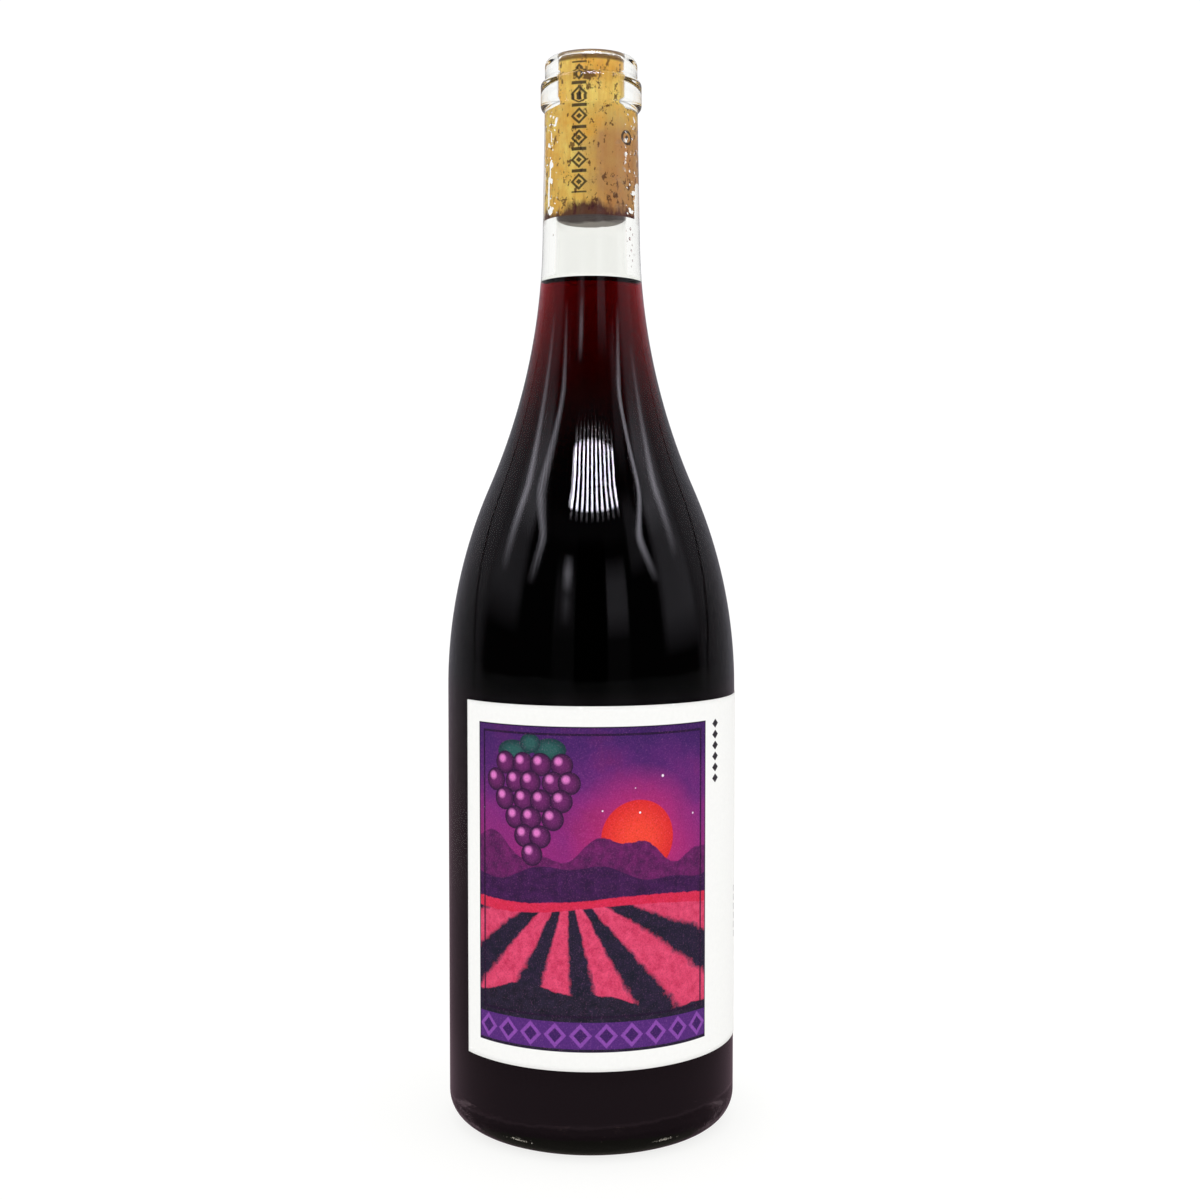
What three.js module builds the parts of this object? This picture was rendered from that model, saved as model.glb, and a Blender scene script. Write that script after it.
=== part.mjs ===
// A corked 750 ml wine bottle of the sloping-shouldered kind, in clear glass, full of red wine.
// Four pieces share one upright axis: the glass, the wine inside it, the cork in its mouth, and a
// paper label wrapped round the body. Millimetres, +Z up. The origin is the centre of the circle
// the bottle stands on, and the printed face of the label looks along -Y.
import * as THREE from "three";

// Overall size of the glass.
const HEIGHT = 300;
const BODY_RADIUS = 40.8;

// Underside: a rounded heel, a flat standing ring and a bell-shaped hollow, the punt.
const HEEL_RADIUS = 7.9;
const RING_WIDTH = 3;
const PUNT_DEPTH = 22;

// Shoulder: one arc bends inwards from the body, a second one bends back into the neck.
const SHOULDER_START = 123.6;
const SHOULDER_RADIUS = 140;
const SHOULDER_ANGLE = THREE.MathUtils.degToRad(23.7);

// Neck: nearly straight, narrowing a little towards the collar under the lip.
const NECK_TAPER = THREE.MathUtils.degToRad(1);
const NECK_TOP_RADIUS = 13.1;
const COLLAR_BOTTOM = 285.4;
const COLLAR_TOP = 293.8;
const COLLAR_RADIUS = 14.2;
const COLLAR_EDGE = 1;
const LIP_RADIUS = 13;
const LIP_EDGE = 1.7;

// Inside of the glass: the bore that grips the cork, then a wall that thins towards the body.
const BORE_RADIUS = 9.3;
const BORE_EDGE = 0.9;
const BORE_END = 250;
const NECK_WALL = 3.7;
const BODY_WALL = 3;
const WALL_THINS_BY = 185;
const FLOOR_THICKNESS = 8;
const PUNT_THICKNESS = 5.5;
const INNER_HEEL = 6;

// Contents and cork.
const WINE_LEVEL = 238;
const CORK_TOP = HEIGHT - 1.3;
const CORK_LENGTH = 44;
const CORK_BEVEL = 0.6;

// Label: a paper strip that starts left of the front and runs on round the right side.
const LABEL_BOTTOM = 25;
const LABEL_TOP = 122.1;
const LABEL_START = THREE.MathUtils.degToRad(-55.1);
const LABEL_END = THREE.MathUtils.degToRad(203.5);
const LABEL_THICKNESS = 0.2;

// Fit between neighbouring pieces, and how finely the round shapes are cut.
const GAP = 0.3;
const LABEL_GAP = 0.1;
const SEGMENTS = 56;
const LABEL_SEGMENTS = 52;
const ARC_STEPS = 8;
const EDGE_STEPS = 3;

const glassMaterial = new THREE.MeshStandardMaterial({
  color: 0xeef3f0,
  roughness: 0.05,
  metalness: 0,
  transparent: true,
  opacity: 0.35,
});
const wineMaterial = new THREE.MeshStandardMaterial({ color: 0x2a0710, roughness: 0.08, metalness: 0 });
const corkMaterial = new THREE.MeshStandardMaterial({ color: 0xc79a55, roughness: 0.8, metalness: 0 });
const labelMaterial = new THREE.MeshStandardMaterial({ color: 0xf6f6f4, roughness: 0.7, metalness: 0 });

// Points on a circle in the radius-height plane, from one angle to another.
function arc(centreRadius, centreHeight, radius, from, to, steps) {
  return Array.from({ length: steps + 1 }, (_, i) => {
    const angle = from + ((to - from) * i) / steps;
    return new THREE.Vector2(
      centreRadius + radius * Math.cos(angle),
      centreHeight + radius * Math.sin(angle),
    );
  });
}

// The bell shape of the punt: full height on the axis, level again at its rim.
function bellCurve(rim, bottom, height) {
  return Array.from({ length: ARC_STEPS + 1 }, (_, i) => {
    const share = i / ARC_STEPS;
    return new THREE.Vector2(rim * share, bottom + (height * (1 + Math.cos(Math.PI * share))) / 2);
  });
}

// The neck's outer face is a straight line that leans by NECK_TAPER.
function neckRadius(height) {
  return NECK_TOP_RADIUS + (COLLAR_BOTTOM - height) * Math.tan(NECK_TAPER);
}

// The upper shoulder arc has the one radius that meets both the lower arc and the neck smoothly.
function sweepRadius() {
  const lean = Math.tan(NECK_TAPER);
  const bendRadius = BODY_RADIUS - SHOULDER_RADIUS * (1 - Math.cos(SHOULDER_ANGLE));
  const bendHeight = SHOULDER_START + SHOULDER_RADIUS * Math.sin(SHOULDER_ANGLE);
  const inwards = bendRadius - NECK_TOP_RADIUS - (COLLAR_BOTTOM - bendHeight) * lean;
  const turned = Math.cos(NECK_TAPER) - Math.cos(SHOULDER_ANGLE);
  const risen = Math.sin(SHOULDER_ANGLE) - Math.sin(NECK_TAPER);
  return inwards / (turned - risen * lean);
}

// Body side, shoulder and neck of the outer face, from the top of the heel to the collar.
function shoulderCurve() {
  const sweep = sweepRadius();
  const lower = arc(
    BODY_RADIUS - SHOULDER_RADIUS, SHOULDER_START, SHOULDER_RADIUS, 0, SHOULDER_ANGLE, ARC_STEPS,
  );
  const bend = lower[lower.length - 1];
  const upper = arc(
    bend.x + sweep * Math.cos(SHOULDER_ANGLE),
    bend.y + sweep * Math.sin(SHOULDER_ANGLE),
    sweep,
    Math.PI + SHOULDER_ANGLE,
    Math.PI + NECK_TAPER,
    ARC_STEPS,
  );
  return [...lower, ...upper.slice(1)];
}

// Radius of the outer face at a height between the heel and the collar.
function outerRadius(height) {
  const curve = shoulderCurve();
  if (height <= SHOULDER_START) return BODY_RADIUS;
  if (height >= curve[curve.length - 1].y) return neckRadius(height);
  const above = curve.findIndex((point) => point.y >= height);
  const [low, high] = [curve[above - 1], curve[above]];
  return low.x + ((high.x - low.x) * (height - low.y)) / (high.y - low.y);
}

// The wall is thick in the neck and thins smoothly to the body.
function wallThickness(height) {
  const share = THREE.MathUtils.smoothstep(height, WALL_THINS_BY, BORE_END);
  return BODY_WALL + (NECK_WALL - BODY_WALL) * share;
}

function innerRadius(height) {
  return outerRadius(height) - wallThickness(height);
}

// Radius of the bore: from the lip it opens a little towards the neck below the cork.
function boreRadius(height) {
  const share = (HEIGHT - height) / (HEIGHT - BORE_END);
  return BORE_RADIUS + (innerRadius(BORE_END) - BORE_RADIUS) * share;
}

// The inner face of the glass, drawn in by an inset, from the axis up to a height in the neck.
function innerCurve(inset, top) {
  const bodyInner = BODY_RADIUS - BODY_WALL - inset;
  const heel = INNER_HEEL - inset;
  const rim = bodyInner - heel;
  const floor = FLOOR_THICKNESS + inset;
  const height = PUNT_DEPTH + PUNT_THICKNESS - FLOOR_THICKNESS;
  const heights = shoulderCurve().map((point) => point.y).filter((y) => y < Math.min(top, BORE_END) - 2);
  const side = [...heights, Math.min(top, BORE_END)];
  return [
    ...bellCurve(rim, floor, height),
    ...arc(rim, floor + heel, heel, -Math.PI / 2, 0, EDGE_STEPS + 1).slice(1),
    ...side.map((y) => new THREE.Vector2(innerRadius(y) - inset, y)),
  ];
}

// The standing ring, heel, body, shoulder, neck, collar and lip, from the axis up to the mouth.
function outerCurve() {
  const ringOuter = BODY_RADIUS - HEEL_RADIUS;
  const collarFlat = COLLAR_RADIUS - COLLAR_EDGE;
  const lipFlat = LIP_RADIUS - LIP_EDGE;
  const quarter = Math.PI / 2;
  return [
    ...bellCurve(ringOuter - RING_WIDTH, 0, PUNT_DEPTH),
    ...arc(ringOuter, HEEL_RADIUS, HEEL_RADIUS, -quarter, 0, EDGE_STEPS + 2),
    ...shoulderCurve(),
    new THREE.Vector2(NECK_TOP_RADIUS, COLLAR_BOTTOM),
    ...arc(collarFlat, COLLAR_BOTTOM + COLLAR_EDGE, COLLAR_EDGE, -quarter / 2, 0, EDGE_STEPS),
    ...arc(collarFlat, COLLAR_TOP - COLLAR_EDGE, COLLAR_EDGE, 0, quarter, EDGE_STEPS),
    new THREE.Vector2(LIP_RADIUS, COLLAR_TOP),
    ...arc(lipFlat, HEIGHT - LIP_EDGE, LIP_EDGE, 0, quarter, EDGE_STEPS),
  ];
}

// The rounded inner edge of the mouth. The bore runs straight down from its last point.
function mouthCurve() {
  const edgeCentre = boreRadius(HEIGHT - BORE_EDGE) + BORE_EDGE;
  return arc(edgeCentre, HEIGHT - BORE_EDGE, BORE_EDGE, Math.PI / 2, Math.PI, EDGE_STEPS);
}

// A solid of revolution about Z from a profile that starts and ends on the axis.
function turned(name, profile, material) {
  const geometry = new THREE.LatheGeometry(profile, SEGMENTS);
  geometry.rotateX(Math.PI / 2);
  const mesh = new THREE.Mesh(geometry, material);
  mesh.name = name;
  return mesh;
}

function makeGlass() {
  const inside = innerCurve(0, BORE_END).reverse();
  return turned("glass_bottle", [...outerCurve(), ...mouthCurve(), ...inside], glassMaterial);
}

function makeWine() {
  const side = innerCurve(GAP, WINE_LEVEL);
  return turned("wine", [...side, new THREE.Vector2(0, WINE_LEVEL)], wineMaterial);
}

function makeCork() {
  const bottom = CORK_TOP - CORK_LENGTH;
  const lowRadius = boreRadius(bottom) - GAP;
  const topRadius = boreRadius(CORK_TOP) - GAP;
  const profile = [
    new THREE.Vector2(0, bottom),
    new THREE.Vector2(lowRadius - CORK_BEVEL, bottom),
    new THREE.Vector2(lowRadius, bottom + CORK_BEVEL),
    new THREE.Vector2(topRadius, CORK_TOP - CORK_BEVEL),
    new THREE.Vector2(topRadius - CORK_BEVEL, CORK_TOP),
    new THREE.Vector2(0, CORK_TOP),
  ];
  return turned("cork", profile, corkMaterial);
}

// Angles on the label are counted from the front, -Y, towards the right, +X.
function makeLabel() {
  const front = -Math.PI / 2;
  const inner = BODY_RADIUS + LABEL_GAP;
  const outer = inner + LABEL_THICKNESS;
  const outline = new THREE.Shape();
  outline.absarc(0, 0, outer, front + LABEL_START, front + LABEL_END, false);
  outline.absarc(0, 0, inner, front + LABEL_END, front + LABEL_START, true);
  const geometry = new THREE.ExtrudeGeometry(outline, {
    depth: LABEL_TOP - LABEL_BOTTOM,
    bevelEnabled: false,
    curveSegments: LABEL_SEGMENTS,
  });
  const mesh = new THREE.Mesh(geometry, labelMaterial);
  mesh.name = "label";
  mesh.position.z = LABEL_BOTTOM;
  return mesh;
}

const bottle = new THREE.Group();
bottle.add(makeGlass(), makeWine(), makeCork(), makeLabel());

export default bottle;
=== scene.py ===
# %% [markdown]
# A corked bottle of red wine, dressed in Blender
#
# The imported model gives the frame: a glass bottle, the wine in it, its cork and its paper label, at
# their real size. Each of the four is modelled again here with smooth curves and a real finish, in
# the same place. The bottle stands at the origin, +Z is up, and the front of the label faces -Y.
# Lengths are in metres.

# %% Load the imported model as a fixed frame
import math

import bpy
import numpy as np
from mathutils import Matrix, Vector


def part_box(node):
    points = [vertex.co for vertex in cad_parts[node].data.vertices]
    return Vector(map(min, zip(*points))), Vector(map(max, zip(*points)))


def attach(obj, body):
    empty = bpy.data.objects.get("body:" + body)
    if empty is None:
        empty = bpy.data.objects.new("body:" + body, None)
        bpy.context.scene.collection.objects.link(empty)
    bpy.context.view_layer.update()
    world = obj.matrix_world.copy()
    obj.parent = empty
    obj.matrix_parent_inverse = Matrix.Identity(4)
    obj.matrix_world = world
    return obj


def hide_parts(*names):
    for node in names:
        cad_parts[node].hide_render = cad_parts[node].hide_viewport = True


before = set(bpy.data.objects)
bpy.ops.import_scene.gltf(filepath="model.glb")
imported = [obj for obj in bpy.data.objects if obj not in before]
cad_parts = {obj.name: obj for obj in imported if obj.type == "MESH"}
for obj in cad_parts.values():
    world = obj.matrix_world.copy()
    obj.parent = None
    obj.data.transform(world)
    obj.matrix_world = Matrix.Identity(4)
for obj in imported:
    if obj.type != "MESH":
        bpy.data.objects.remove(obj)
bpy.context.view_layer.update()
scene = bpy.context.scene
print("nodes:", sorted(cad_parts))

# %% [markdown]
# The named sizes
#
# The overall heights and widths are read off the frame, so that the new pieces can't drift from it.
# The rest are the radii and angles of the bottle's outline, which a box can't tell.

# %% Sizes read off the frame, and the outline's own
MM = 0.001
glass_low, glass_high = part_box("glass_bottle")
wine_low, wine_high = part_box("wine")
cork_low, cork_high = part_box("cork")
label_low, label_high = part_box("label")

HEIGHT = glass_high.z
BODY_RADIUS = glass_high.x
WINE_LEVEL = wine_high.z
CORK_BOTTOM, CORK_TOP = cork_low.z, cork_high.z
LABEL_BOTTOM, LABEL_TOP = label_low.z, label_high.z
LABEL_RADIUS = label_high.x

HEEL_RADIUS = 7.9 * MM
RING_WIDTH = 3 * MM
PUNT_DEPTH = 22 * MM
PUNT_THICKNESS = 5.5 * MM
FLOOR_THICKNESS = 8 * MM
INNER_HEEL = 6 * MM
SHOULDER_START = 123.6 * MM
SHOULDER_RADIUS = 140 * MM
SHOULDER_ANGLE = math.radians(23.7)
NECK_TAPER = math.radians(1)
NECK_TOP_RADIUS = 13.1 * MM
COLLAR_BOTTOM = 285.4 * MM
COLLAR_TOP = 293.8 * MM
COLLAR_RADIUS = 14.2 * MM
COLLAR_EDGE = 1.6 * MM
COLLAR_STEP = 0.4 * MM
LIP_RADIUS = 13 * MM
LIP_EDGE = 2.2 * MM
BORE_RADIUS = 9.3 * MM
BORE_EDGE = 0.9 * MM
BORE_END = 250 * MM
NECK_WALL = 3.7 * MM
BODY_WALL = 3 * MM
WALL_THINS_BY = 185 * MM
LABEL_START = math.radians(-55.1)
LABEL_END = math.radians(203.5)
print("bottle", round(2 * BODY_RADIUS, 4), "by", round(HEIGHT, 4), "m")
print("wine up to", round(WINE_LEVEL, 4), "m")

# %% [markdown]
# The camera
#
# The photograph was taken from a little over half the bottle's height, tilted down slightly. The
# camera could be placed by eye. Here its place and its lens come from fitting the bottle's outline
# to the photograph, which is square, so that the outline falls where it should all round.

# %% Place the camera
PHOTO_PIXELS = 1200
FOCAL_PIXELS = 1647
BOTTLE_AXIS_PIXEL = 591.3
CAMERA_DISTANCE = 0.4698
CAMERA_HEIGHT = 0.1708
CAMERA_TILT = math.radians(2.78)
SENSOR = 36


def add_camera():
    data = bpy.data.cameras.new("photo_camera")
    data.sensor_width = SENSOR
    data.lens = SENSOR * FOCAL_PIXELS / PHOTO_PIXELS
    data.clip_start = 0.01
    camera = bpy.data.objects.new("photo_camera", data)
    sideways = CAMERA_DISTANCE * (PHOTO_PIXELS / 2 - BOTTLE_AXIS_PIXEL) / FOCAL_PIXELS
    camera.location = (sideways, -CAMERA_DISTANCE, CAMERA_HEIGHT)
    camera.rotation_euler = (math.radians(90) - CAMERA_TILT, 0, 0)
    scene.collection.objects.link(camera)
    scene.camera = camera
    return camera


print("lens", round(add_camera().data.lens, 2), "mm")

# %% [markdown]
# Helpers for shader maths
#
# A material is a net of nodes, and it could be wired link by link, but its sums read better as
# Python. Field wraps the output of a node and turns + - * / into Math nodes, also with the number
# on the left, as in 1 - mask. Paint holds one material and makes every other node, first its
# settings and then its sockets.

# %% Tint: a printed colour as light
def tint(*levels):
    """Screen levels from 0 to 255 as the linear colour a shader needs."""
    return tuple(((v / 255 + 0.055) / 1.055) ** 2.4 if v > 10 else v / 3295 for v in levels)


print("a mid grey on the screen is", round(tint(128)[0], 3), "as light")


# %% Field: a number that varies over a surface
class Field:
    def __init__(self, tree, socket):
        self.tree = tree
        self.socket = socket

    def math(self, operation, *others, clamp=False):
        node = self.tree.nodes.new("ShaderNodeMath")
        node.operation = operation
        node.use_clamp = clamp
        for slot, value in zip(node.inputs, (self, *others)):
            if isinstance(value, Field):
                self.tree.links.new(value.socket, slot)
            else:
                slot.default_value = value
        return Field(self.tree, node.outputs[0])

    def __add__(self, other):
        return self.math("ADD", other)

    def __sub__(self, other):
        return self.math("SUBTRACT", other)

    def __mul__(self, other):
        return self.math("MULTIPLY", other)

    def __truediv__(self, other):
        return self.math("DIVIDE", other)

    def __neg__(self):
        return self.math("MULTIPLY", -1)

    def __rsub__(self, other):
        return self.math("MULTIPLY", -1).math("ADD", other)

    __radd__ = __add__
    __rmul__ = __mul__

    def clamp(self):
        return self.math("ADD", 0, clamp=True)

    def edge(self, softness):
        """0 where the field is negative, 1 where it is positive, soft over the given width."""
        return self.math("DIVIDE", softness).math("ADD", 0.5, clamp=True)


print("a Field makes Math nodes")


# %% Paint: the nodes of one material, or of the room
class Paint:
    def __init__(self, owner, output="ShaderNodeOutputMaterial"):
        self.owner = owner
        owner.use_nodes = True
        self.tree = owner.node_tree
        self.tree.nodes.clear()
        self.output = self.tree.nodes.new(output)

    def node(self, kind, settings=None, **values):
        """Any node: its settings first, then its sockets, named with _ for a space, or as in _6."""
        node = self.tree.nodes.new(kind)
        for name, setting in (settings or {}).items():
            setattr(node, name, setting)
        for name, value in values.items():
            slot = int(name[1:]) if name[0] == "_" else name.replace("_", " ")
            self.plug(node.inputs[slot], value)
        return node

    def plug(self, slot, value):
        if isinstance(value, Field):
            self.tree.links.new(value.socket, slot)
        elif isinstance(value, bpy.types.NodeSocket):
            self.tree.links.new(value, slot)
        elif isinstance(value, tuple) and slot.type == "RGBA":
            slot.default_value = (*value, 1)
        else:
            slot.default_value = value

    def field(self, node, output):
        return Field(self.tree, node.outputs[output])

    def axes(self, vector):
        split = self.node("ShaderNodeSeparateXYZ", Vector=vector)
        return [self.field(split, axis) for axis in "XYZ"]

    def place(self):
        """The three Object coordinates of the point being shaded, in metres."""
        coordinates = self.node("ShaderNodeTexCoord").outputs["Object"]
        return coordinates, self.axes(coordinates)

    def vector(self, x, y, z):
        return self.node("ShaderNodeCombineXYZ", X=x, Y=y, Z=z).outputs[0]

    def noise(self, vector, scale, detail, roughness):
        node = self.node("ShaderNodeTexNoise", {"noise_dimensions": "3D"}, Vector=vector,
                         Scale=scale, Detail=detail, Roughness=roughness)
        return self.field(node, 0)

    def blend(self, factor, first, second):
        """One colour turning into another as the factor goes from 0 to 1."""
        mix = self.node("ShaderNodeMix", {"data_type": "RGBA"}, _0=factor, _6=first, _7=second)
        return mix.outputs[2]

    def bump(self, height, distance, strength=1.0):
        node = self.node("ShaderNodeBump", Height=height, Distance=distance, Strength=strength)
        return node.outputs[0]

    def surface(self, **values):
        """A Principled shader wired to the output."""
        shader = self.node("ShaderNodeBsdfPrincipled", **values)
        self.tree.links.new(shader.outputs[0], self.output.inputs["Surface"])
        return self.owner


print("a Paint makes every other node")

# %% [markdown]
# Helpers for modelling
#
# A bottle is as round as a thing turned on a lathe. It could be shaped from a cylinder, ring by
# ring, but its long curves come out truer the other way: one vertex is pulled along the outline of
# half a section, and the outline is spun about the bottle's axis. The vertex comes from a small
# plane merged to its middle.


# %% Draw an outline
def deselect_all():
    bpy.ops.object.select_all(action="DESELECT")


def draw_outline(name, points):
    """A new object holding a line through the points, each given as (radius, height)."""
    deselect_all()
    start = Vector((points[0][0], 0, points[0][1]))
    bpy.ops.mesh.primitive_plane_add(size=1 * MM, location=start)
    piece = bpy.context.object
    piece.name = name
    bpy.ops.object.transform_apply(location=True, rotation=True, scale=True)
    bpy.ops.object.mode_set(mode="EDIT")
    bpy.ops.mesh.select_mode(type="VERT")
    bpy.ops.mesh.select_all(action="SELECT")
    bpy.ops.mesh.merge(type="CENTER")
    for before, after in zip(points, points[1:]):
        step = (after[0] - before[0], 0, after[1] - before[1])
        bpy.ops.mesh.extrude_region_move(TRANSFORM_OT_translate={"value": step})
    return piece


print("an outline is drawn vertex by vertex")

# %% Spin it
SPIN_STEPS = 160
MERGE_DISTANCE = 0.002 * MM


def spin_outline(name, points):
    """A closed, smooth solid of revolution, its faces pointing outwards."""
    piece = draw_outline(name, points)
    bpy.ops.mesh.select_all(action="SELECT")
    bpy.ops.mesh.spin(steps=SPIN_STEPS, angle=2 * math.pi, center=(0, 0, 0), axis=(0, 0, 1))
    bpy.ops.mesh.select_all(action="SELECT")
    bpy.ops.mesh.remove_doubles(threshold=MERGE_DISTANCE)
    bpy.ops.mesh.normals_make_consistent(inside=False)
    bpy.ops.mesh.faces_shade_smooth()
    bpy.ops.object.mode_set(mode="OBJECT")
    return piece


print("a full turn has", SPIN_STEPS, "steps")


# %% Finish a piece
def apply_modifier(piece, kind, **settings):
    deselect_all()
    piece.select_set(True)
    bpy.context.view_layer.objects.active = piece
    modifier = piece.modifiers.new(kind.title(), kind)
    for name, value in settings.items():
        setattr(modifier, name, value)
    bpy.ops.object.modifier_apply(modifier=modifier.name)


def dress(piece, node, slot, *materials):
    """The piece stands for a CAD node, rides with the bottle and gets its finish."""
    piece.data.materials.clear()
    for material in materials:
        piece.data.materials.append(material)
    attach(piece, "root")
    if node:
        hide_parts(node)
    faces = len(piece.data.polygons)
    print(piece.name, "has", faces, "faces, stands for", node or "nothing", "and is made of", slot)


print("nodes to dress:", len(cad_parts))

# %% [markdown]
# The bottle's outline
#
# A glassmaker's mould is a few arcs. From the heel up: a straight body, a wide arc that bends in, a
# second arc that bends back into the neck, a neck that narrows by one degree, a collar and a
# rounded lip. The outline could be traced as a free curve. Arcs were chosen because each meets the
# next with no kink, so highlights run over the shoulder without a break.

# %% Arcs of the outline
ARC_POINTS = 28
EDGE_POINTS = 7
HOLD = 0.4 * MM


def arc(centre_radius, centre_height, radius, start, end, count):
    """Points from one angle to another on a circle in the radius-height plane."""
    turns = np.linspace(start, end, count)
    return [(centre_radius + radius * math.cos(turn), centre_height + radius * math.sin(turn))
            for turn in turns]


def joined(*curves):
    """One line through the curves, with a holding ring at each end of a long straight stretch."""
    line = list(curves[0])
    for curve in curves[1:]:
        start, end = np.array(line[-1]), np.array(curve[0])
        length = math.dist(start, end)
        if length > 4 * HOLD:
            shares = (HOLD / length, 1 - HOLD / length)
            line += [tuple(start + (end - start) * share) for share in shares]
        line += curve
    return line


def punt_curve(rim, bottom, height):
    """A bell: full height on the axis, level at its rim."""
    shares = np.linspace(0, 1, ARC_POINTS)
    return [(rim * s, bottom + height * (1 + math.cos(math.pi * s)) / 2) for s in shares]


print("a holding ring stands", HOLD, "m from the end of a straight stretch")


# %% The shoulder
def shoulder_curve():
    """Two arcs. The upper one has the one radius that meets the lower arc and the neck smoothly."""
    lean = math.tan(NECK_TAPER)
    bend_radius = BODY_RADIUS - SHOULDER_RADIUS * (1 - math.cos(SHOULDER_ANGLE))
    bend_height = SHOULDER_START + SHOULDER_RADIUS * math.sin(SHOULDER_ANGLE)
    inwards = bend_radius - NECK_TOP_RADIUS - (COLLAR_BOTTOM - bend_height) * lean
    turned = math.cos(NECK_TAPER) - math.cos(SHOULDER_ANGLE)
    risen = math.sin(SHOULDER_ANGLE) - math.sin(NECK_TAPER)
    sweep = inwards / (turned - risen * lean)
    lower = arc(BODY_RADIUS - SHOULDER_RADIUS, SHOULDER_START, SHOULDER_RADIUS,
                0, SHOULDER_ANGLE, ARC_POINTS)
    upper = arc(bend_radius + sweep * math.cos(SHOULDER_ANGLE),
                bend_height + sweep * math.sin(SHOULDER_ANGLE), sweep,
                math.pi + SHOULDER_ANGLE, math.pi + NECK_TAPER, ARC_POINTS)
    return lower + upper[1:]


SHOULDER = shoulder_curve()
print("the shoulder runs from", round(SHOULDER[0][1], 4), "to", round(SHOULDER[-1][1], 4))


# %% Radii at a height
def outer_radius(height):
    curve = [(BODY_RADIUS, 0)] + SHOULDER + [(NECK_TOP_RADIUS, COLLAR_BOTTOM)]
    radii, heights = zip(*curve)
    return float(np.interp(height, heights, radii))


def inner_radius(height):
    share = min(max((height - WALL_THINS_BY) / (BORE_END - WALL_THINS_BY), 0), 1)
    share = share * share * (3 - 2 * share)
    return outer_radius(height) - BODY_WALL - (NECK_WALL - BODY_WALL) * share


def bore_radius(height):
    """The bore opens a little from the lip down to the neck below the cork."""
    share = (HEIGHT - height) / (HEIGHT - BORE_END)
    return BORE_RADIUS + (inner_radius(BORE_END) - BORE_RADIUS) * share


print("the bore is", round(bore_radius(HEIGHT), 4), "m in radius at the mouth")


# %% Inner and outer faces
def inner_curve(grow, top):
    """The inner face from the axis up the wall, moved into the glass by grow."""
    heel = INNER_HEEL + grow
    rim = BODY_RADIUS - BODY_WALL + grow - heel
    floor = FLOOR_THICKNESS - grow
    floor_curve = punt_curve(rim, floor, PUNT_DEPTH + PUNT_THICKNESS - FLOOR_THICKNESS)
    corner = arc(rim, floor + heel, heel, -math.pi / 2, 0, EDGE_POINTS + 4)
    heights = [h for _, h in SHOULDER if h < top - 1 * MM] + [top]
    return joined(floor_curve, corner[1:], [(inner_radius(h) + grow, h) for h in heights])


def outer_curve():
    ring_outer = BODY_RADIUS - HEEL_RADIUS
    collar_flat = COLLAR_RADIUS - COLLAR_EDGE
    lip_flat = LIP_RADIUS - LIP_EDGE
    quarter = math.pi / 2
    return joined(
        punt_curve(ring_outer - RING_WIDTH, 0, PUNT_DEPTH),
        arc(ring_outer, HEEL_RADIUS, HEEL_RADIUS, -quarter, 0, 2 * EDGE_POINTS),
        SHOULDER,
        [(NECK_TOP_RADIUS, COLLAR_BOTTOM)],
        arc(collar_flat, COLLAR_BOTTOM + COLLAR_EDGE, COLLAR_EDGE, -quarter / 2, 0, EDGE_POINTS),
        arc(collar_flat, COLLAR_TOP - COLLAR_EDGE, COLLAR_EDGE, 0, quarter, EDGE_POINTS),
        [(LIP_RADIUS, COLLAR_TOP + COLLAR_STEP)],
        arc(lip_flat, HEIGHT - LIP_EDGE, LIP_EDGE, 0, quarter, EDGE_POINTS),
    )


def mouth_curve():
    centre = bore_radius(HEIGHT - BORE_EDGE) + BORE_EDGE
    return arc(centre, HEIGHT - BORE_EDGE, BORE_EDGE, math.pi / 2, math.pi, EDGE_POINTS)


print("the outer face is an outline of", len(outer_curve()), "points")

# %% [markdown]
# The glass
#
# It is one thick shell, open at the mouth. It could be a thin skin given its wall by a modifier,
# but the wall isn't even, so the outer face, the rim and the inner face are drawn as one outline.
# Where wine wets the inner face, light passes from glass into wine, which bends and mirrors it far
# less than air does. So those faces get a second glass, whose IOR is that of glass over wine's.

# %% Glass materials
GLASS_IOR = 1.5
WINE_IOR = 1.345
GLASS_TINT = (0.975, 0.98, 0.955)
# Painted shade for the thick base, given as a glass colour.
BASE_PAINTED_SHADE = (0.06, 0.045, 0.05)
BASE_TOP, BASE_FADE = 26 * MM, 14 * MM
RIPPLE_TOP, RIPPLE_FADE, RIPPLE_DEPTH = 9 * MM, 4 * MM, 0.25 * MM
HEEL_LINE, HEEL_LINE_TILT = 9.8 * MM, 0.035
HEEL_LINE_WIDTH, HEEL_LINE_STRAY = 0.35 * MM, 2.4


def paint_glass(name, ior):
    """Clear, but with painted shade that darkens the thick base, and a ragged bright line round its
    heel.
    """
    paint = Paint(bpy.data.materials.new(name))
    place, (x, y, z) = paint.place()
    # Painted shade: the glass is tinted nearly black up through the thick base, where the bottle
    # stands in shade.
    base = (BASE_TOP - z).edge(BASE_FADE)
    colour = paint.blend(base, GLASS_TINT, BASE_PAINTED_SHADE)
    cloud = paint.noise(place, 240, detail=3, roughness=0.6)
    normal = paint.bump(cloud * (RIPPLE_TOP - z).edge(RIPPLE_FADE), RIPPLE_DEPTH)
    above = z - x * HEEL_LINE_TILT - HEEL_LINE + (cloud - 0.5) * HEEL_LINE_STRAY * MM
    line = (HEEL_LINE_WIDTH - above.math("ABSOLUTE")).edge(0.5 * MM)
    sheen = above.edge(0.4 * MM) * base * 0.3 + line * 0.6
    return paint.surface(Base_Color=colour, Roughness=0.0, IOR=ior, Transmission_Weight=1.0,
                         Coat_Weight=sheen, Coat_Roughness=0.0, Normal=normal)


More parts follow.
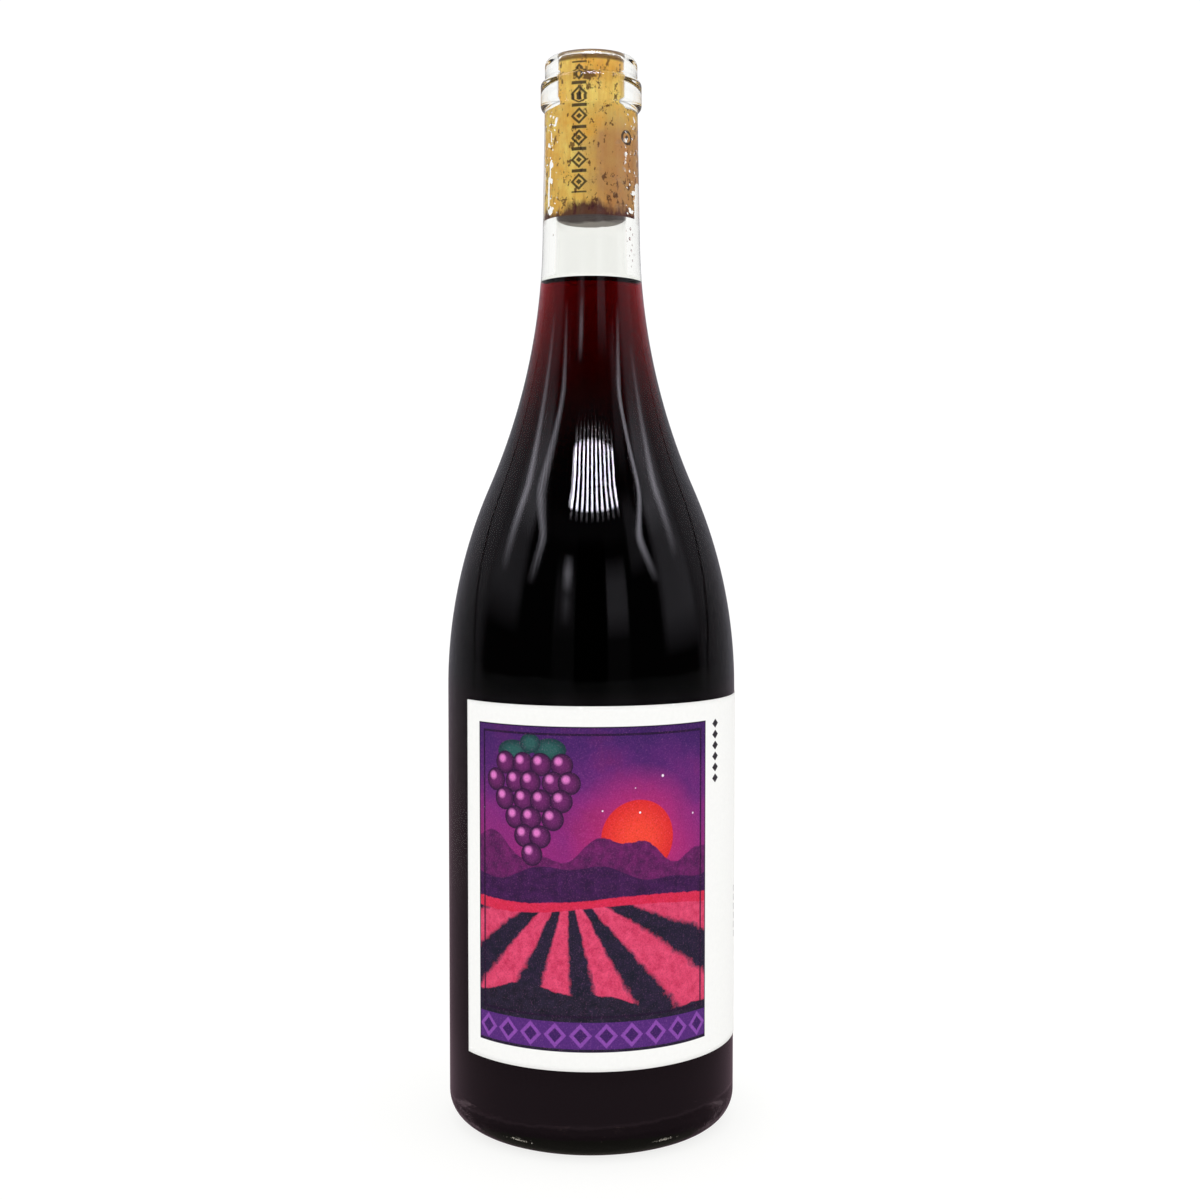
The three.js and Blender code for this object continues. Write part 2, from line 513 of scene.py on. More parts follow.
clear_glass = paint_glass("clear_glass", GLASS_IOR)
wetted_glass = paint_glass("wetted_glass", GLASS_IOR / WINE_IOR)
print("IOR", GLASS_IOR, "in air and", round(GLASS_IOR / WINE_IOR, 3), "against wine")


# %% Model the glass
WETTED_REACH = 0.3 * MM


def near_curve(point, curve, reach):
    """True if a point of the section lies within reach of a curve."""
    place = np.array(point)
    starts, ends = np.array(curve[:-1]), np.array(curve[1:])
    along = ends - starts
    share = np.clip(((place - starts) * along).sum(1) / (along ** 2).sum(1), 0, 1)
    return np.linalg.norm(starts + along * share[:, None] - place, axis=1).min() < reach


def make_glass():
    inside = inner_curve(0, BORE_END)
    piece = spin_outline("bottle_glass", joined(outer_curve(), mouth_curve(), inside[::-1]))
    dress(piece, "glass_bottle", "glass", clear_glass, wetted_glass)
    wetted = 0
    for face in piece.data.polygons:
        radius = math.hypot(face.center.x, face.center.y)
        place = (radius, face.center.z)
        if face.center.z < WINE_LEVEL and near_curve(place, inside, WETTED_REACH):
            face.material_index = 1
            wetted += 1
    print("faces wetted by wine:", wetted)


make_glass()

# %% [markdown]
# The wine
#
# It fills the glass up to the level in the neck, with a small meniscus where it climbs the wall. It
# could stop short of the glass, but a film of air would then show between them as silver. So its
# sides reach just into the glass, and there they only carry the colour: the glass has already bent
# the light. Red wine is coloured by what it absorbs. Red passes a few centimetres, green and blue a
# few millimetres, so it is bright red at the thin edges of the neck and black in the body.

# %% Wine materials
INTO_WALL = 0.05 * MM
ABSORPTION = (150, 530, 447)
WINE_DENSITY = 560


def paint_wine(name, ior):
    """A clear liquid that swallows red, green and blue at the rates above, per metre."""
    paint = Paint(bpy.data.materials.new(name))
    colour = tuple(1 - rate / WINE_DENSITY for rate in ABSORPTION)
    volume = paint.node("ShaderNodeVolumeAbsorption", Color=colour, Density=float(WINE_DENSITY))
    paint.tree.links.new(volume.outputs[0], paint.output.inputs["Volume"])
    return paint.surface(Base_Color=(1.0, 1.0, 1.0), Roughness=0.0, IOR=ior,
                         Transmission_Weight=1.0)


wine_surface = paint_wine("wine_surface", WINE_IOR)
wine_at_wall = paint_wine("wine_at_wall", 1.0)
print("red fades to a third in", round(1 / ABSORPTION[0], 4), "m of wine")

# %% Model the wine
MENISCUS = 1.2 * MM
AT_WALL_REACH = 0.1 * MM


def make_wine():
    side = inner_curve(INTO_WALL, WINE_LEVEL)
    edge = side[-1][0]
    shares = np.linspace(0, 1, EDGE_POINTS)
    climb = [(edge - MENISCUS * s, WINE_LEVEL - MENISCUS * s * (2 - s)) for s in shares]
    flat = climb[-1]
    piece = spin_outline("wine_fill", side + climb[1:] + [(flat[0] / 2, flat[1]), (0, flat[1])])
    dress(piece, "wine", "wine", wine_surface, wine_at_wall)
    for face in piece.data.polygons:
        radius = math.hypot(face.center.x, face.center.y)
        if near_curve((radius, face.center.z), side, AT_WALL_REACH):
            face.material_index = 1


make_wine()

# %% [markdown]
# Drops above the wine
#
# When the bottle was last tilted, a few drops of wine stayed on the glass between the wine and the
# cork. They could be scattered at random. A dozen copies of one small ball, each pressed flat
# against the wall, are lighter and sit where they should.

# %% Model the drops
# Each drop: degrees from the front to the right, height and radius in millimetres.
DROPS = (
    (68, 252.0, 0.36), (74, 250.6, 0.26), (66, 249.2, 0.42), (72, 247.6, 0.22), (60, 248.4, 0.18),
    (69, 246.0, 0.32), (76, 245.0, 0.18), (64, 244.4, 0.20), (71, 243.2, 0.26), (58, 251.2, 0.16),
    (67, 241.4, 0.18), (-64, 250.2, 0.20),
)
DROP_FLATNESS = 0.45
DROP_SAG = 1.25


def make_drops():
    """One ball is pressed flat and drawn out. Its copies are set round the wall and joined."""
    deselect_all()
    bpy.ops.mesh.primitive_ico_sphere_add(subdivisions=3, radius=1 * MM, location=(0, 0, 0))
    ball = bpy.context.object
    bpy.ops.object.mode_set(mode="EDIT")
    bpy.ops.mesh.select_all(action="SELECT")
    bpy.ops.transform.resize(value=(1, DROP_FLATNESS, DROP_SAG))
    bpy.ops.mesh.faces_shade_smooth()
    bpy.ops.object.mode_set(mode="OBJECT")
    deselect_all()
    for turn, height, size in DROPS:
        drop = ball.copy()
        drop.data = ball.data.copy()
        scene.collection.objects.link(drop)
        wall = inner_radius(height * MM) if height * MM < BORE_END else bore_radius(height * MM)
        azimuth = math.radians(turn)
        drop.location = (wall * math.sin(azimuth), -wall * math.cos(azimuth), height * MM)
        drop.rotation_euler = (0, 0, azimuth)
        drop.scale = (size, size, size)
        drop.select_set(True)
        bpy.context.view_layer.objects.active = drop
    bpy.ops.object.join()
    drops = bpy.context.object
    drops.name = "wine_drops"
    bpy.ops.object.transform_apply(location=True, rotation=True, scale=True)
    bpy.data.objects.remove(ball)
    return drops


dress(make_drops(), None, "wine", wine_surface)

# %% [markdown]
# The cork
#
# A natural cork is cut from bark, so its side is pitted and its ends are chamfered a little by the
# corking machine. Its pits could be bump alone, but under the glass they hold real pockets of air,
# which show as bright or dark specks through the neck. So the side reaches just into the glass, and
# dents and pits are pressed into the mesh.

# %% Model the cork
CORK_CHAMFER = 0.4 * MM
CORK_ROWS = 150
CORK_END_RINGS = 24


def make_cork():
    low = bore_radius(CORK_BOTTOM) + INTO_WALL
    high = bore_radius(CORK_TOP) + INTO_WALL
    heights = np.linspace(CORK_BOTTOM + CORK_CHAMFER, CORK_TOP - CORK_CHAMFER, CORK_ROWS)
    side = [(low + (high - low) * (h - CORK_BOTTOM) / (CORK_TOP - CORK_BOTTOM), h) for h in heights]
    rings = np.linspace(0, 1, CORK_END_RINGS)
    bottom = [((low - CORK_CHAMFER) * s, CORK_BOTTOM) for s in rings]
    top = [((high - CORK_CHAMFER) * s, CORK_TOP) for s in rings[::-1]]
    return spin_outline("cork_plug", bottom + side + top)


cork_plug = make_cork()
print("cork", round((CORK_TOP - CORK_BOTTOM) / MM, 1), "mm long")


# %% Press dents into the cork
# Each dent: its azimuth and half width in degrees, its foot, its top and its depth in millimetres.
DENTS = (
    (84, 42, 284.5, 299.5, 0.22), (-86, 38, 285, 299.5, 0.22), (104, 24, 252, 266, 0.18),
    (86, 6, 253, 261, 0.16), (-110, 16, 252, 283, 0.18), (-99, 8, 262, 270, 0.16),
    (-78, 3, 258, 267, 0.16), (-74, 2.4, 265, 271, 0.14), (-72, 2, 276, 279, 0.12),
)


def press_in(turn, width, low, high, depth):
    """Presses a soft dent into the side, where the cork doesn't quite touch the bore."""
    for vertex in cork_plug.data.vertices:
        aside = (math.degrees(math.atan2(vertex.co.x, -vertex.co.y)) - turn) / width
        along = (vertex.co.z / MM - (low + high) / 2) / ((high - low) / 2)
        if abs(aside) < 1 and abs(along) < 1:
            press = depth * MM * (1 - aside * aside) * min(1, 4 * (1 - abs(along)))
            shrink = 1 - press / math.hypot(vertex.co.x, vertex.co.y)
            vertex.co.x, vertex.co.y = vertex.co.x * shrink, vertex.co.y * shrink


for dent in DENTS:
    press_in(*dent)
print("dents pressed:", len(DENTS))


# %% Pit the cork
def make_pits(name, size, threshold, depth):
    """Presses pits into the cork wherever a cloudy pattern passes the threshold."""
    pattern = bpy.data.textures.new(name, type="CLOUDS")
    pattern.noise_scale = size
    pattern.noise_depth = 2
    pattern.use_color_ramp = True
    dark, bright = pattern.color_ramp.elements
    dark.position, bright.position = threshold, threshold + 0.12
    apply_modifier(cork_plug, "DISPLACE", texture=pattern, strength=-depth, mid_level=0.0,
                   texture_coords="LOCAL")


make_pits("wide_pits", 2.6 * MM, 0.67, 0.16 * MM)
make_pits("fine_pits", 0.8 * MM, 0.68, 0.20 * MM)
print("cork pitted:", len(cork_plug.data.vertices), "vertices")

# %% [markdown]
# The cork's finish
#
# Seen close, the bark is straw-coloured, with browner fibres, dark specks and blots, and its lower
# end has soaked up wine. A picture of bark could be wrapped round it. Noise at several scales gives
# the same without a file, and where it is drawn out upwards it follows the grain. The marks are
# burnt in, so they only darken the colour.

# %% Marks burnt into the cork
CORK_RADIUS_MM = 9.5
COLUMN_MIDDLE = -3.0
COLUMN_BOTTOM, COLUMN_TOP = 261, 297
COLUMN_PITCH = 6
RING_MIDDLE = (10.2, 277.0)


def cork_print(across, up):
    """An upright row of lozenges and bars, and a ring with a dot."""
    aside = (across - COLUMN_MIDDLE).math("ABSOLUTE")
    step = ((up - COLUMN_BOTTOM) / COLUMN_PITCH).math("FRACT") * COLUMN_PITCH - COLUMN_PITCH / 2
    lozenge = (aside / 2.4 + step.math("ABSOLUTE") / 2.6 - 0.72).math("ABSOLUTE")
    bars = (step.math("ABSOLUTE") - 2.55).edge(0.15) * (1.9 - aside).edge(0.2)
    core = 0.3 - (aside / 2.4 + step.math("ABSOLUTE") / 2.6)
    column = (0.17 - lozenge).edge(0.08).math("MAXIMUM", bars).math("MAXIMUM", core.edge(0.06))
    column = column * (up - COLUMN_BOTTOM).edge(0.3) * (COLUMN_TOP - up).edge(0.3)
    dx, dz = across - RING_MIDDLE[0], up - RING_MIDDLE[1]
    away = (dx * dx + dz * dz).math("SQRT")
    ring = (0.35 - (away - 1.7).math("ABSOLUTE")).edge(0.15)
    dot = (0.6 - away).edge(0.15)
    return column.math("MAXIMUM", ring.math("MAXIMUM", dot))


print("lozenges on the cork:", (COLUMN_TOP - COLUMN_BOTTOM) // COLUMN_PITCH)

# %% Cork material
CORK_GOLD, CORK_STRAW = tint(238, 172, 60), tint(255, 232, 128)
FIBRE, SHADED_SIDE = tint(216, 146, 60), tint(184, 124, 84)
SPECK, BLOT, PAINTED_RIM_SHADE = tint(92, 52, 30), tint(84, 46, 30), tint(92, 62, 38)
WINE_STAIN, INK = tint(76, 28, 36), tint(38, 32, 28)
END_DARK, END_PALE = tint(112, 100, 98), tint(214, 206, 198)


def paint_cork():
    """Bark from broad to fine, then painted shade on the right side and round the top rim, then what
    lies on it: stain, the lower end and the marks.
    """
    paint = Paint(bpy.data.materials.new("natural_cork"))
    place, (x, y, z) = paint.place()
    across = x.math("ARCTAN2", -y) * CORK_RADIUS_MM
    up = z / MM
    upright = paint.vector(x, y, z * 0.22)
    broad = paint.noise(place, 130, detail=3, roughness=0.6)
    fibres = paint.noise(upright, 900, detail=4, roughness=0.65)
    colour = paint.blend((broad - 0.5) * 2.2 + 0.5, CORK_GOLD, CORK_STRAW)
    colour = paint.blend((fibres - 0.42) * 1.6, colour, FIBRE)
    stray = (broad - 0.5) * 12
    right = (x / MM - 0.5 + stray).edge(6.0) * (281 - up + stray).edge(9.0)
    colour = paint.blend(right * 0.75, colour, SHADED_SIDE)
    specks = paint.noise(paint.vector(x, y, z * 0.55), 620, detail=3, roughness=0.7)
    colour = paint.blend((specks - 0.615).edge(0.035) * 0.85, colour, SPECK)
    blots = paint.noise(paint.vector(x, y, z * 0.6), 260, detail=5, roughness=0.75)
    colour = paint.blend((blots - 0.61).edge(0.04) * 0.85, colour, BLOT)
    outwards = (x * x + y * y).math("SQRT") / MM
    # Painted shade: a dark ring round the outer edge of the cork's top end.
    rim = (up - CORK_TOP / MM + 1.1).edge(0.5) * (outwards - 7.6 + fibres).edge(0.8)
    colour = paint.blend(rim * 0.8, colour, PAINTED_RIM_SHADE)
    aside = x.math("ABSOLUTE") / MM * 0.2
    ragged = (fibres - 0.5) * 6 + (broad - 0.5) * 9
    soaked = (CORK_BOTTOM / MM + 4.0 - aside - up + ragged).edge(2.6)
    colour = paint.blend(soaked * 0.92, colour, WINE_STAIN)
    end = (CORK_BOTTOM / MM + 0.3 - up).edge(0.3)
    dry = paint.blend((y / MM - 1 + (broad - 0.5) * 20).edge(5), END_DARK, END_PALE)
    colour = paint.blend(end * 0.9, colour, dry)
    ink = cork_print(across + (fibres - 0.5) * 0.5, up)
    colour = paint.blend(ink * 0.9, colour, INK)
    bump = paint.bump(specks * -1.0 + fibres * 0.4, 0.15 * MM)
    return paint.surface(Base_Color=colour, Roughness=0.8 + broad * 0.2, Normal=bump)


dress(cork_plug, "cork", "cork", paint_cork())

# %% [markdown]
# The label
#
# A strip of paper is wrapped round the body. It could be a flat strip bent by a modifier. Here it
# is spun through the label's angle from one upright line, which keeps it exactly on the circle of
# the glass, and then given the thickness of paper. Its left end bulges a little near the foot.

# %% Model the label
LABEL_ROWS = 60
LABEL_STEPS = 220
PAPER, GLUE = 0.16 * MM, 0.02 * MM
EDGE_BULGE = math.radians(1.2)
BULGE_HEIGHT = 56 * MM
BULGE_SIZE = 5 * MM
EDGE_REACH = math.radians(12)


def lift_edge(piece, radius):
    """Lets the left end of the paper bulge out sideways at one height."""
    for vertex in piece.data.vertices:
        turn = math.atan2(vertex.co.x, -vertex.co.y)
        from_edge = (turn - LABEL_START) / EDGE_REACH
        if 0 <= from_edge < 1:
            level = (vertex.co.z - BULGE_HEIGHT) / BULGE_SIZE
            turn -= EDGE_BULGE * (1 - from_edge) * math.exp(-(level ** 2))
            vertex.co.x, vertex.co.y = radius * math.sin(turn), -radius * math.cos(turn)


def make_label():
    radius = BODY_RADIUS + GLUE + PAPER / 2
    heights = np.linspace(LABEL_BOTTOM, LABEL_TOP, LABEL_ROWS)
    piece = draw_outline("paper_label", [(radius, h) for h in heights])
    bpy.ops.mesh.select_all(action="SELECT")
    start = LABEL_START - math.pi / 2
    length = LABEL_END - LABEL_START
    middle = (0, 0, 0)
    bpy.ops.transform.rotate(value=-start, orient_axis="Z", center_override=middle)
    bpy.ops.mesh.spin(steps=LABEL_STEPS, angle=length, center=middle, axis=(0, 0, -1))
    bpy.ops.mesh.select_all(action="SELECT")
    bpy.ops.mesh.remove_doubles(threshold=MERGE_DISTANCE)
    bpy.ops.mesh.normals_make_consistent(inside=False)
    bpy.ops.mesh.faces_shade_smooth()
    bpy.ops.object.mode_set(mode="OBJECT")
    lift_edge(piece, radius)
    apply_modifier(piece, "SOLIDIFY", thickness=PAPER, offset=0)
    return piece


paper_label = make_label()
print("label", round((LABEL_TOP - LABEL_BOTTOM) / MM, 1), "mm high, paper", PAPER / MM, "mm thick")

# %% [markdown]
# The print
#
# The label carries a panel printed in red, magenta and violet: a plain evening scene over vine
# rows, with a sun and a bunch of grapes, and a border of lozenges. It could be an image laid on the
# paper. Here it is drawn by nodes, from distances and waves, so it stays sharp and needs no file.
# The drawing lies in the unrolled plane of the paper, in millimetres: across counts round the
# bottle from the front to the right, and up is the height.

# %% Shapes on the unrolled paper
PANEL_LEFT, PANEL_RIGHT = -33.8, 35.3
PANEL_BOTTOM, PANEL_TOP = 30.2, 116.7
# The sun's middle and radius, and the point towards which the vine rows run.
SUN = (13.0, 87.0, 10.2)
VANISHING = (-6.0, 76.0)


def box_field(across, up, left, right, bottom, top, softness=0.15):
    """1 inside an upright box, with soft sides."""
    sides = (across - left).edge(softness) * (right - across).edge(softness)
    return sides * (up - bottom).edge(softness) * (top - up).edge(softness)


def distance_field(across, up, middle):
    dx, dz = across - middle[0], up - middle[1]
    return (dx * dx + dz * dz).math("SQRT")


def ridge(across, up, base, *waves):
    """Positive under a skyline made of waves, each given as (height, length, shift)."""
    line = across * 0 + base
    for height, length, shift in waves:
        line = line + (across / length + shift).math("SINE") * height
    return line - up


print("panel", round(PANEL_RIGHT - PANEL_LEFT, 1), "by", round(PANEL_TOP - PANEL_BOTTOM, 1), "mm")

# %% The evening sky
SKY_LOW, SKY_MIDDLE, SKY_HIGH = tint(160, 28, 114), tint(92, 30, 126), tint(58, 20, 92)
CLOUD, SUN_GLOW, STAR = tint(92, 14, 66), tint(214, 36, 108), tint(250, 236, 248)
SUN_CORE, SUN_RIM = tint(246, 66, 44), tint(216, 14, 30)


def paint_sky(paint, across, up, cloud):
    """Magenta at the skyline, violet above, a few dark clouds, and the sun in its glow."""
    height = (up - 70) / 46 + (cloud - 0.5) * 0.9
    colour = paint.blend(height.clamp(), SKY_LOW, SKY_MIDDLE)
    colour = paint.blend(((height - 0.55) * 1.8).clamp(), colour, SKY_HIGH)
    colour = paint.blend(((0.47 - cloud) * 4).clamp() * 0.6, colour, CLOUD)
    away = distance_field(across, up, SUN)
    colour = paint.blend(((SUN[2] + 10 - away) / 12).clamp() * 0.5, colour, SUN_GLOW)
    sun = paint.blend(((away - 3) / 9).clamp(), SUN_CORE, SUN_RIM)
    return paint.blend((SUN[2] - away).edge(0.3), colour, sun)


def paint_stars(paint, place, up, colour):
    """Small stars above the hills. Only the brightest cells of the pattern hold one."""
    cells = paint.node("ShaderNodeTexVoronoi", {"feature": "F1"}, Vector=place, Scale=210.0)
    away = paint.field(cells, "Distance")
    pick = paint.field(paint.node("ShaderNodeSeparateColor", Color=cells.outputs["Color"]), 0)
    star = (pick * 0.11 - 0.02 - away).edge(0.02) * (up - 89).edge(2)
    return paint.blend(star, colour, STAR)


print("sun", 2 * SUN[2], "mm wide")

# %% Hills and vine rows
# Each ridge: its base, its waves, how ragged and soft it is, and its dark and light colour.
FAR_HILLS = (84, ((3.2, 6.1, 0.4), (1.3, 2.3, 1.0)), 1.5, 0.25,
             tint(64, 14, 70), tint(132, 26, 112))
NEAR_HILLS = (77.5, ((2.2, 9.5, 2.0), (0.8, 3.1, 0.2)), 1.0, 0.25,
              tint(40, 12, 58), tint(78, 22, 92))
FRONT_BANK = (43.5, ((3.6, 15.0, 2.6), (0.9, 4.0, 0.0)), 1.4, 0.4,
              tint(14, 18, 30), tint(48, 40, 66))
FAR_BANK = (tint(206, 16, 40), tint(226, 40, 92))
SOIL = (tint(196, 34, 78), tint(244, 84, 126))
VINES = (tint(14, 24, 38), tint(54, 34, 70))


def paint_ridge(paint, across, up, fine, colour, shape):
    base, waves, ragged, softness, dark, light = shape
    line = ridge(across, up, base, *waves) + (fine - 0.5) * ragged
    return paint.blend(line.edge(softness), colour, paint.blend((fine - 0.3) * 2, dark, light))


def paint_land(paint, across, up, cloud, fine, colour):
    """From the back to the front: two rows of hills, a red bank, vine rows and a dark bank."""
    colour = paint_ridge(paint, across, up, fine, colour, FAR_HILLS)
    colour = paint_ridge(paint, across, up, fine, colour, NEAR_HILLS)
    bank = ridge(across, up, 70.5, (1.2, 12.0, 0.3)) + (fine - 0.5) * 1.2
    colour = paint.blend(bank.edge(0.3), colour, paint.blend(fine, *FAR_BANK))
    field = ridge(across, up, 68.0, (1.4, 12.0, 0.5)) + (fine - 0.5) * 0.6
    turn = (across - VANISHING[0]).math("ARCTAN2", VANISHING[1] - up)
    rows = (turn * 13).math("SINE") + (fine - 0.5) * 1.6 + (cloud - 0.5) * 1.2
    soil = paint.blend((fine - 0.25) * 1.8, *SOIL)
    vines = paint.blend((fine - 0.3) * 1.6, *VINES)
    colour = paint.blend(field.edge(0.3), colour, paint.blend((rows - 0.1).edge(0.5), soil, vines))
    return paint_ridge(paint, across, up, fine, colour, FRONT_BANK)


print("the vine rows meet at", VANISHING)

# %% The bunch of grapes
GRAPE = 3.1
BUNCH = (-16.0, 106.5)
BUNCH_ROWS = (4, 5, 4, 3, 2, 1)
LEAVES = ((-21.5, 109.5, 5.0, 3.2), (-11.0, 110.5, 4.6, 3.0), (-16.5, 112.0, 3.0, 2.6))
LEAF_DARK, LEAF_LIGHT = tint(20, 52, 60), tint(36, 92, 88)
GRAPE_LIGHT, GRAPE_DARK, GRAPE_GLINT = tint(112, 30, 104), tint(34, 8, 48), tint(226, 120, 200)


def bunch_places():
    """Middles of the grapes, row by row, fewer towards the tip."""
    for row, count in enumerate(BUNCH_ROWS):
        for i in range(count):
            wobble = 0.5 * math.sin(5 * row + 3 * i)
            across = BUNCH[0] + (i - (count - 1) / 2) * 1.75 * GRAPE + wobble
            yield across, BUNCH[1] - row * 1.55 * GRAPE


def paint_grapes(paint, across, up, colour):
    """Three round leaves, then the grapes, each with a dark rim and a glint at its upper left."""
    for middle, height, wide, high in LEAVES:
        dx, dz = (across - middle) / wide, (up - height) / high
        rim = 1 - (dx * dx + dz * dz).math("SQRT")
        shade = paint.blend((rim * 1.6).clamp(), LEAF_DARK, LEAF_LIGHT)
        colour = paint.blend(rim.edge(0.08), colour, shade)
    for middle in bunch_places():
        away = distance_field(across, up, middle)
        glint = distance_field(across, up, (middle[0] - 0.9, middle[1] + 1.0))
        shade = paint.blend((away / GRAPE).math("POWER", 2.0).clamp(), GRAPE_LIGHT, GRAPE_DARK)
        shade = paint.blend((1.0 - glint).edge(0.8), shade, GRAPE_GLINT)
        colour = paint.blend((GRAPE - away).edge(0.2), colour, shade)
    return colour


print("grapes in the bunch:", sum(BUNCH_ROWS))

# %% Border and marks
BAND = (31, 38.2)
BAND_TINT, LOZENGE_LIGHT, LOZENGE_DARK = tint(84, 34, 122), tint(138, 70, 172), tint(62, 22, 98)
FRAME_LINE, MARK_INK, DASH_INK = tint(30, 8, 44), tint(48, 44, 50), tint(90, 88, 92)


def lozenge_row(across, up, start, pitch, middle, wide, high):
    """A row of lozenges along across, centred on the height middle."""
    step = ((across - start) / pitch).math("FRACT") * pitch - pitch / 2
    return 1 - (step.math("ABSOLUTE") / wide + (up - middle).math("ABSOLUTE") / high)


def paint_border(paint, across, up, colour):
    """A band of lozenges along the foot of the panel, and a thin line round the scene."""
    band = box_field(across, up, PANEL_LEFT, PANEL_RIGHT, *BAND)
    colour = paint.blend(band, colour, BAND_TINT)
    lozenges = lozenge_row(across, up, PANEL_LEFT, 6.91, 34.6, 3.1, 3.3)
    colour = paint.blend(band * lozenges.edge(0.1), colour, LOZENGE_LIGHT)
    colour = paint.blend(band * (lozenges - 0.4).edge(0.1), colour, LOZENGE_DARK)
    line = box_field(across, up, PANEL_LEFT + 1.8, PANEL_RIGHT - 1.8, 39.4, PANEL_TOP - 1.8)
    inner = box_field(across, up, PANEL_LEFT + 2.4, PANEL_RIGHT - 2.4, 40, PANEL_TOP - 2.4)
    return paint.blend((line - inner) * 0.85, colour, FRAME_LINE)


def paint_marks(paint, across, up, colour):
    """An upright row of small lozenges beside the panel, and one of dashes further round."""
    mark = lozenge_row(up, across, 99, 3.0, 40.0, 1.25, 1.5).edge(0.12)
    colour = paint.blend(mark * box_field(across, up, 37, 43, 99, 117), colour, MARK_INK)
    dashes = ((up / 2.6).math("FRACT") - 0.3).edge(0.05)
    dashes = dashes * box_field(across, up, 56.6, 57.5, 52, 68)
    return paint.blend(dashes * 0.8, colour, DASH_INK)


print("the band is", round(BAND[1] - BAND[0], 1), "mm high")

# %% Label material
PAPER_GREY, PAPER_WHITE = tint(243, 243, 241), tint(252, 252, 250)
PANEL_EDGE, GRAIN_DARK, GRAIN_LIGHT = tint(34, 12, 52), tint(20, 6, 30), tint(255, 150, 225)
EDGE_LINE = 0.35


def paint_panel(paint, place, across, up):
    cloud = paint.noise(place, 55, detail=5, roughness=0.62)
    fine = paint.noise(place, 420, detail=4, roughness=0.7)
    colour = paint_sky(paint, across, up, cloud)
    colour = paint_land(paint, across, up, cloud, fine, colour)
    colour = paint_stars(paint, place, up, colour)
    colour = paint_grapes(paint, across, up, colour)
    colour = paint_border(paint, across, up, colour)
    grain = paint.noise(place, 2600, detail=2, roughness=0.7)
    colour = paint.blend(((grain - 0.5) * 1.3).clamp(), colour, GRAIN_DARK)
    return paint.blend(((0.45 - grain) * 0.5).clamp(), colour, GRAIN_LIGHT)


def paint_label():
    """White paper with a fine pulp, the panel with its dark edge, and the small marks."""
    paint = Paint(bpy.data.materials.new("printed_paper"))
    place, (x, y, z) = paint.place()
    across = x.math("ARCTAN2", -y) * (LABEL_RADIUS / MM)
    up = z / MM
    left, right, bottom, top = PANEL_LEFT, PANEL_RIGHT, PANEL_BOTTOM, PANEL_TOP
    panel = box_field(across, up, left, right, bottom, top, 0.1)
    inset = box_field(across, up, left + EDGE_LINE, right - EDGE_LINE,
                      bottom + EDGE_LINE, top - EDGE_LINE, 0.1)
    pulp = paint.noise(place, 900, detail=5, roughness=0.6)
    paper = paint.blend(pulp, PAPER_GREY, PAPER_WHITE)
    colour = paint.blend(inset, PANEL_EDGE, paint_panel(paint, place, across, up))
    colour = paint_marks(paint, across, up, paint.blend(panel, paper, colour))
    bump = paint.bump(pulp, 0.02 * MM, strength=0.6)
    return paint.surface(Base_Color=colour, Roughness=0.62 - panel * 0.1, Specular_IOR_Level=0.25,
                         Normal=bump)


dress(paper_label, "label", "label", paint_label())

# %% [markdown]
# Floor, room and light
#
# The photograph shows the bottle on pure white. A pale floor and a white room give that, also
# behind the clear neck. What the glass mirrors is another matter: there the room is dim, with a
# bright window above the camera and a few tall panes at the sides, which draw the streaks on the
# shoulder. Lamps and boards round the bottle could give these too, but they would show through the
# clear glass. So the room is painted by direction, once for the eye and once for mirrors. It stays
# where it is when the camera moves.

# %% Floor
FLOOR_SIZE = 8
FOOT_REACH = 0.3
FLOOR_GREY, FLOOR_GLOW = (0.24, 0.24, 0.24), (0.8, 0.8, 0.79)
WHITE_GLOW, NEARLY_BLACK = (1.05, 1.05, 1.05), (0.01, 0.01, 0.01)


def make_floor():
    """White, with a faint shade at the bottle's foot, and painted shade, nearly black, where it is
    seen close by through the bottle's base.
    """
    deselect_all()
    bpy.ops.mesh.primitive_plane_add(size=FLOOR_SIZE, location=(0, 0, 0))
    floor = bpy.context.object
    floor.name = "pale_floor"
    paint = Paint(bpy.data.materials.new("pale_floor"))
    rays = paint.node("ShaderNodeLightPath")
    through = paint.field(rays, "Is Transmission Ray")
    # Painted shade: transmission rays that meet the floor within FOOT_REACH see it nearly black,
    # standing in for the shade under the bottle.
    under = through * (FOOT_REACH - paint.field(rays, "Ray Length")).edge(0.1)
    colour = paint.blend(through, FLOOR_GREY, NEARLY_BLACK)
    glow = paint.blend(under, paint.blend(through, FLOOR_GLOW, WHITE_GLOW), NEARLY_BLACK)
    floor.data.materials.append(
        paint.surface(Base_Color=colour, Roughness=0.9, Specular_IOR_Level=0.0,
                      Emission_Color=glow, Emission_Strength=1.0)
    )
    floor.visible_glossy = False
    print("floor", FLOOR_SIZE, "m wide")


make_floor()


# %% What the glass mirrors of the table
def hump(field, middle, reach):
    """1 at the middle, falling to 0 at the reach on either side."""
    return (1 - (field - middle).math("ABSOLUTE") / reach).clamp()


def span(field, low, high, softness):
    """1 between low and high, with soft ends."""
    return (field - low).edge(softness) * (high - field).edge(softness)


def table_light(turn, rise):
    """Grey, darker right under the bottle, with a glint on each side."""
    side = turn.math("ABSOLUTE")
    table = 0.17 - (-26 - rise).edge(10) * 0.04 - (side - 80).edge(60) * 0.03
    return table + hump(side, 93, 11) * hump(rise, -57, 5) * 7


print("turn counts degrees from the front to the right, rise counts them upwards")

# %% What the glass mirrors of the room
WINDOW_LEFT, WINDOW_RIGHT, WINDOW_FOOT = -26.0, 33.5, 41.7
STRIPE_PITCH, STRIPE_HALF = 6.1, 0.21
PANE_TURN, PANE_REACH, PANE_BEND = 48, 4.7, 32
SIDE_PANE_TURN, SIDE_PANE_REACH = 86, 6


